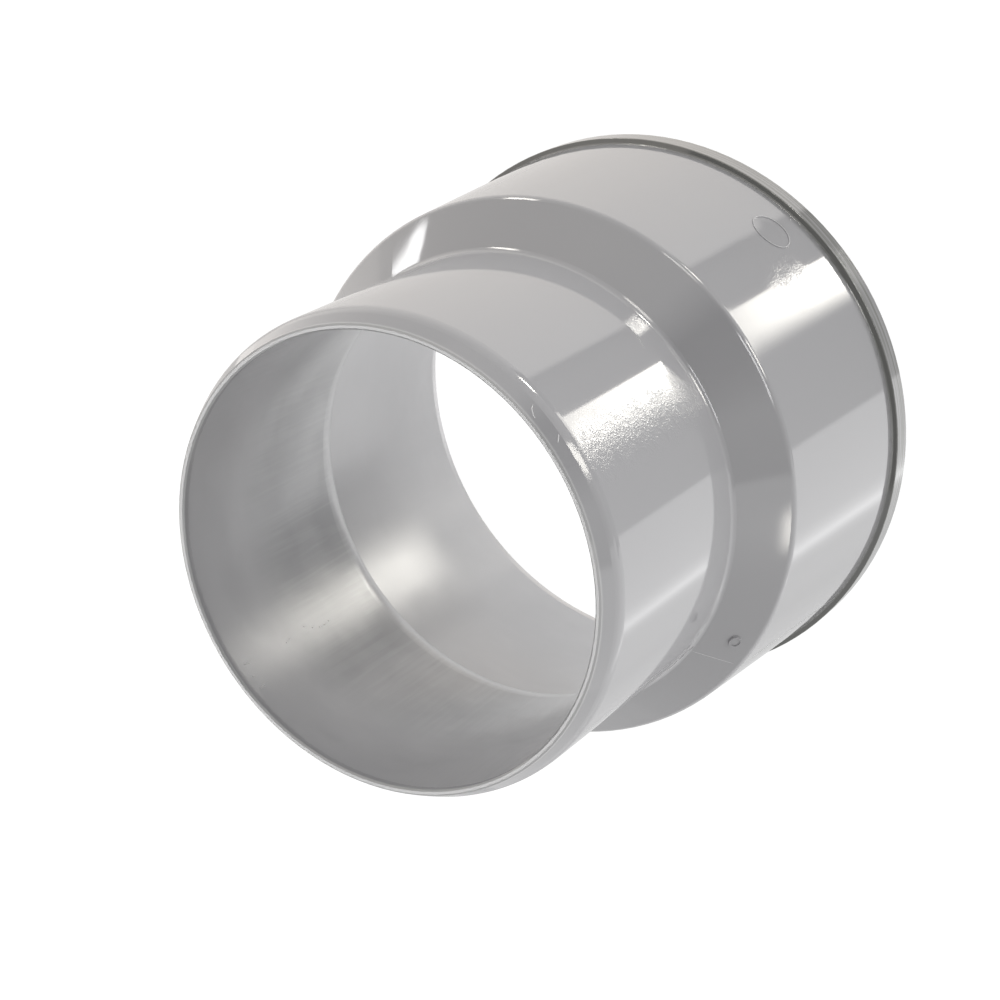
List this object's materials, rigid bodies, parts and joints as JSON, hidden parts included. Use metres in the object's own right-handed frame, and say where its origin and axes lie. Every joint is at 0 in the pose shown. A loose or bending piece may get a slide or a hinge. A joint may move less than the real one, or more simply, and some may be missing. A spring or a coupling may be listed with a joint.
{
  "type": "pipe transition adapter",
  "caption": "Grey moulded pipe adapter: a plain spigot with a lead-in chamfer steps out through a conical shoulder to a wider flanged cup.",
  "frame": {"origin": "centre of the cup's end face, on the pipe axis", "axes": "+Z along the pipe axis from the flanged cup to the spigot's lip; the part is turned about it"},
  "size_m": [0.1378, 0.1378, 0.1269],
  "materials": {
    "grey_plastic": "glossy outside, satin in the bores, fine moulding and handling marks"
  },
  "bodies": {
    "root": {"adapter_body": "grey_plastic"}
  },
  "joints": []
}
